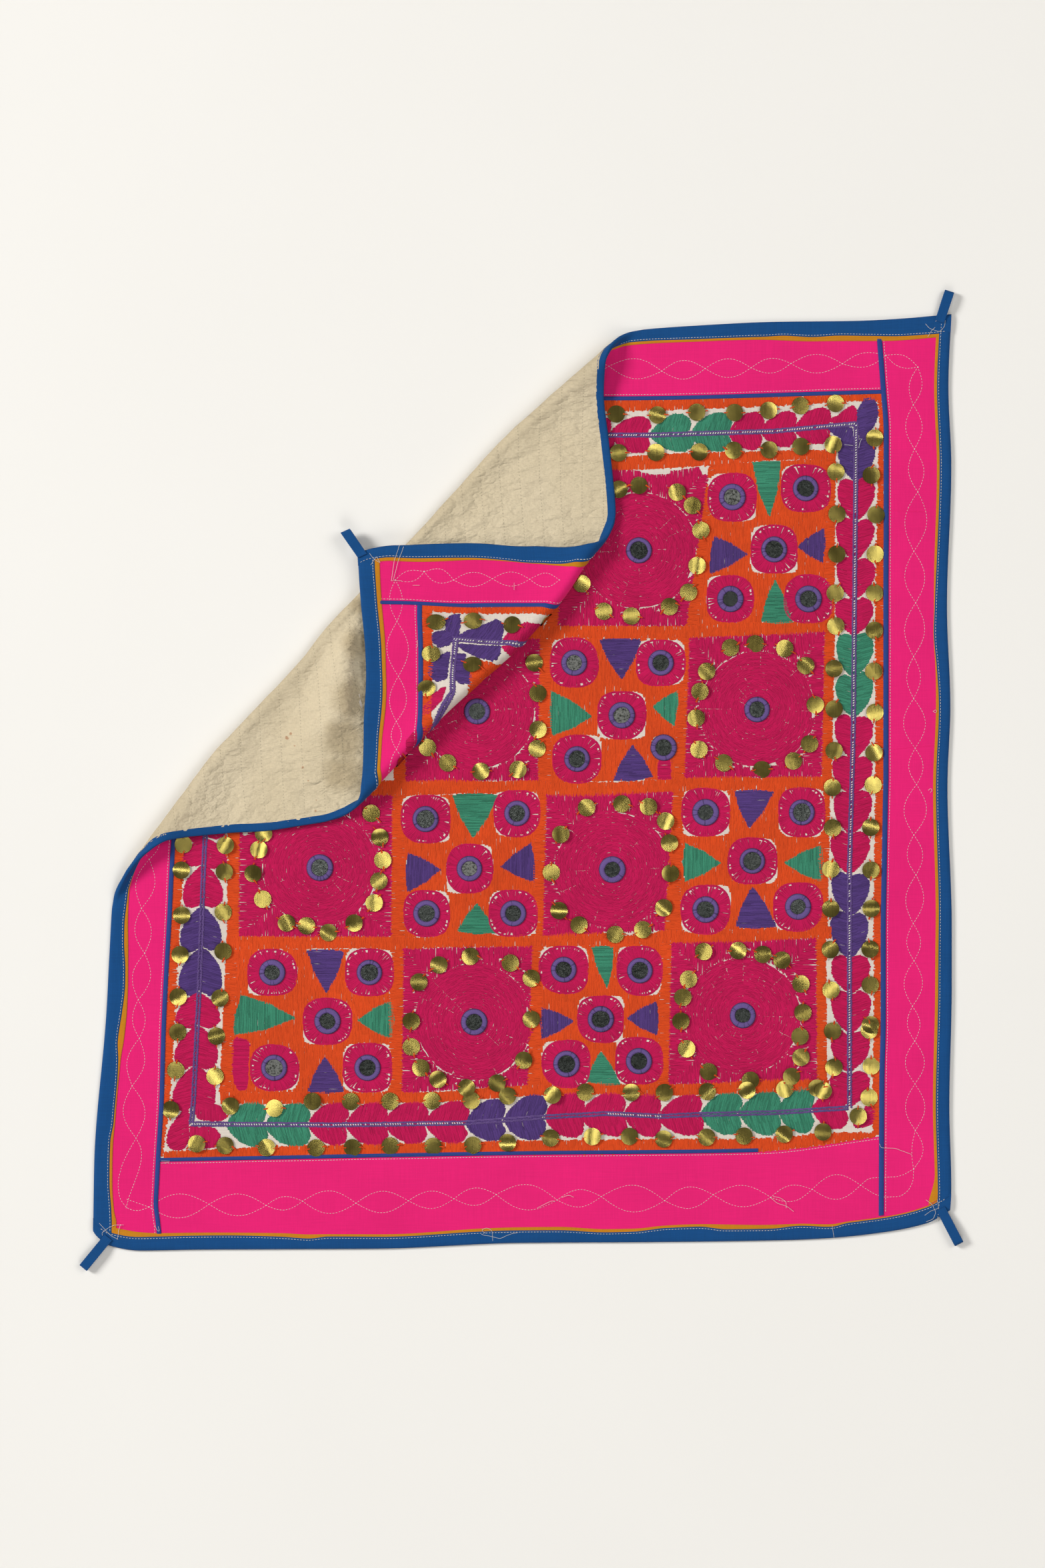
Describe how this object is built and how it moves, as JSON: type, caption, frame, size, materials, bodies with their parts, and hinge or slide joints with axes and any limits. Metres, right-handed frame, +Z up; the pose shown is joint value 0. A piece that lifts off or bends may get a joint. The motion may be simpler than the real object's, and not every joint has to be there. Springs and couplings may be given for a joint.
{
  "type": "mirror work tapestry",
  "caption": "Square embroidered mirror work hanging, lined and edged with bound tape, laid flat with one corner folded back twice to show its lining.",
  "frame": {"origin": "on the surface it lies on, under the middle of the cloth", "axes": "+Z up out of the embroidered face, +Y up the cloth towards the folded side, +X to the right"},
  "size_m": [0.928, 1.0302, 0.0242],
  "materials": {
    "lining": "undyed quilted linen, matt",
    "pink_strip": "plain cotton, matt",
    "embroidery": "cotton ground covered with soft floss",
    "blue_tape": "plain cotton, matt",
    "ochre_piping": "plain cotton, matt",
    "violet_piping": "plain cotton, matt",
    "mirror_glass": "hand cut silvered glass, a little clouded",
    "sequin": "thin bright metal",
    "thread": "white sewing thread"
  },
  "bodies": {
    "root": {"lining": "lining", "centre_panel": "embroidery", "border_top": "pink_strip", "border_right": "pink_strip", "border_bottom": "pink_strip", "border_left": "pink_strip", "binding_top": "blue_tape", "binding_right": "blue_tape", "binding_bottom": "blue_tape", "binding_left": "blue_tape", "outer_piping_top": "ochre_piping", "outer_piping_right": "ochre_piping", "outer_piping_bottom": "ochre_piping", "outer_piping_left": "ochre_piping", "inner_piping_top": "violet_piping", "inner_piping_right": "violet_piping", "inner_piping_bottom": "violet_piping", "inner_piping_left": "violet_piping", "loop_top_right": "blue_tape", "loop_bottom_left": "blue_tape", "loop_bottom_right": "blue_tape", "loop_top_left": "blue_tape", "mirror_01": "mirror_glass", "mirror_02": "mirror_glass", "mirror_03": "mirror_glass", "mirror_04": "mirror_glass", "mirror_05": "mirror_glass", "mirror_06": "mirror_glass", "mirror_07": "mirror_glass", "mirror_08": "mirror_glass", "mirror_09": "mirror_glass", "mirror_10": "mirror_glass", "mirror_11": "mirror_glass", "mirror_12": "mirror_glass", "mirror_13": "mirror_glass", "mirror_14": "mirror_glass", "mirror_15": "mirror_glass", "mirror_16": "mirror_glass", "mirror_17": "mirror_glass", "mirror_18": "mirror_glass", "mirror_19": "mirror_glass", "mirror_20": "mirror_glass", "mirror_21": "mirror_glass", "mirror_22": "mirror_glass", "mirror_23": "mirror_glass", "mirror_24": "mirror_glass", "mirror_25": "mirror_glass", "mirror_26": "mirror_glass", "mirror_27": "mirror_glass", "mirror_28": "mirror_glass", "mirror_29": "mirror_glass", "mirror_30": "mirror_glass", "mirror_31": "mirror_glass", "mirror_32": "mirror_glass", "mirror_33": "mirror_glass", "mirror_34": "mirror_glass", "mirror_35": "mirror_glass", "mirror_36": "mirror_glass", "mirror_37": "mirror_glass"}
  },
  "joints": []
}
